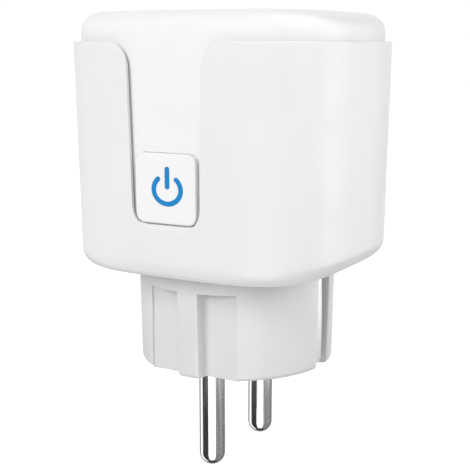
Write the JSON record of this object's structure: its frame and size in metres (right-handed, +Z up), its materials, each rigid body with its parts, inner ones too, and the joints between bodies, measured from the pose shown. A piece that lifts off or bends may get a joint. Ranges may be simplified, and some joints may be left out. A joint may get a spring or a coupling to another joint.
{
  "type": "smart plug",
  "caption": "Square smart plug: round earthed mains plug below, switched socket recess on top, slotted sleeve with a lit power button.",
  "frame": {"origin": "middle of the plug's end face, between the two pins, where the pins leave the plug", "axes": "+Z up from the pins to the socket recess, -Y towards the power button's side, +X to the right as seen from that side; the pins lie on Y and the earth contacts on X"},
  "size_m": [0.0502, 0.0501, 0.0832],
  "materials": {
    "white_plastic": "satin",
    "button_plastic": "satin",
    "blue_light_guide": "lit, translucent",
    "nickel": "bright nickel plate",
    "brass": "stamped sheet",
    "copper": "bare copper",
    "steel": "zinc plate",
    "grey_plastic": "moulded",
    "black_plastic": "moulded",
    "relay_blue": "moulded",
    "circuit_board": "solder mask",
    "blue_ceramic": "dipped coating",
    "tan_resistor": "lacquer",
    "clear_led": "moulded"
  },
  "bodies": {
    "housing": {"outer_sleeve": "white_plastic", "inner_shell": "white_plastic", "socket_floor": "white_plastic", "plug_base": "white_plastic", "base_screw_1": "steel", "base_screw_2": "steel", "base_screw_3": "steel", "base_screw_4": "steel", "live_pin": "nickel", "neutral_pin": "nickel", "live_pin_strap": "copper", "neutral_pin_strap": "copper", "earth_pin_socket": "nickel", "side_earth_contact_right": "nickel", "side_earth_contact_left": "nickel", "live_socket_contact": "brass", "neutral_socket_contact": "brass", "earth_strap": "brass", "contact_carrier": "grey_plastic", "shutter_spring": "steel", "switch_body": "black_plastic", "status_led": "clear_led", "button_board": "circuit_board", "board_link_header": "black_plastic", "main_board": "circuit_board", "relay": "relay_blue", "filter_capacitor_1": "black_plastic", "filter_capacitor_2": "black_plastic", "choke": "copper", "varistor": "blue_ceramic", "fuse_resistor": "tan_resistor", "current_shunt": "copper", "load_busbar": "copper", "neutral_busbar": "copper", "metering_chip": "black_plastic", "power_supply_chip": "black_plastic", "wireless_board": "circuit_board", "wireless_shield": "steel"},
    "button": {"power_button": "button_plastic", "button_light_guide": "blue_light_guide"},
    "plunger": {"switch_plunger": "black_plastic"},
    "shutter": {"shutter": "white_plastic"},
    "right_clip": {"earth_clip_right": "nickel"},
    "left_clip": {"earth_clip_left": "nickel"}
  },
  "joints": [
    {"name": "button_press", "type": "slide", "parent": "housing", "child": "button", "axis": [0, 1, 0], "range_m": [0, 0.0006], "stiffness_N_per_m": 60, "springref_m": -0.0005},
    {"name": "plunger_travel", "type": "slide", "parent": "housing", "child": "plunger", "axis": [0, 1, 0], "range_m": [0, 0.0006]},
    {"name": "shutter_slide", "type": "slide", "parent": "housing", "child": "shutter", "axis": [1, 0, 0], "range_m": [0, 0.0063], "stiffness_N_per_m": 40, "springref_m": -0.001, "deforming": ["shutter_spring"]},
    {"name": "right_clip_flex", "type": "hinge", "parent": "housing", "child": "right_clip", "pos_m": [0.0203, 0, 0.0456], "axis": [0, 1, 0], "range_deg": [0, 4], "stiffness_Nm_per_rad": 0.01, "springref_deg": -1.72},
    {"name": "left_clip_flex", "type": "hinge", "parent": "housing", "child": "left_clip", "pos_m": [-0.0203, 0, 0.0456], "axis": [0, -1, 0], "range_deg": [0, 4], "stiffness_Nm_per_rad": 0.01, "springref_deg": -1.72}
  ],
  "couplings": [
    {"joint": "plunger_travel", "follows": "button_press", "ratio": 1}
  ]
}
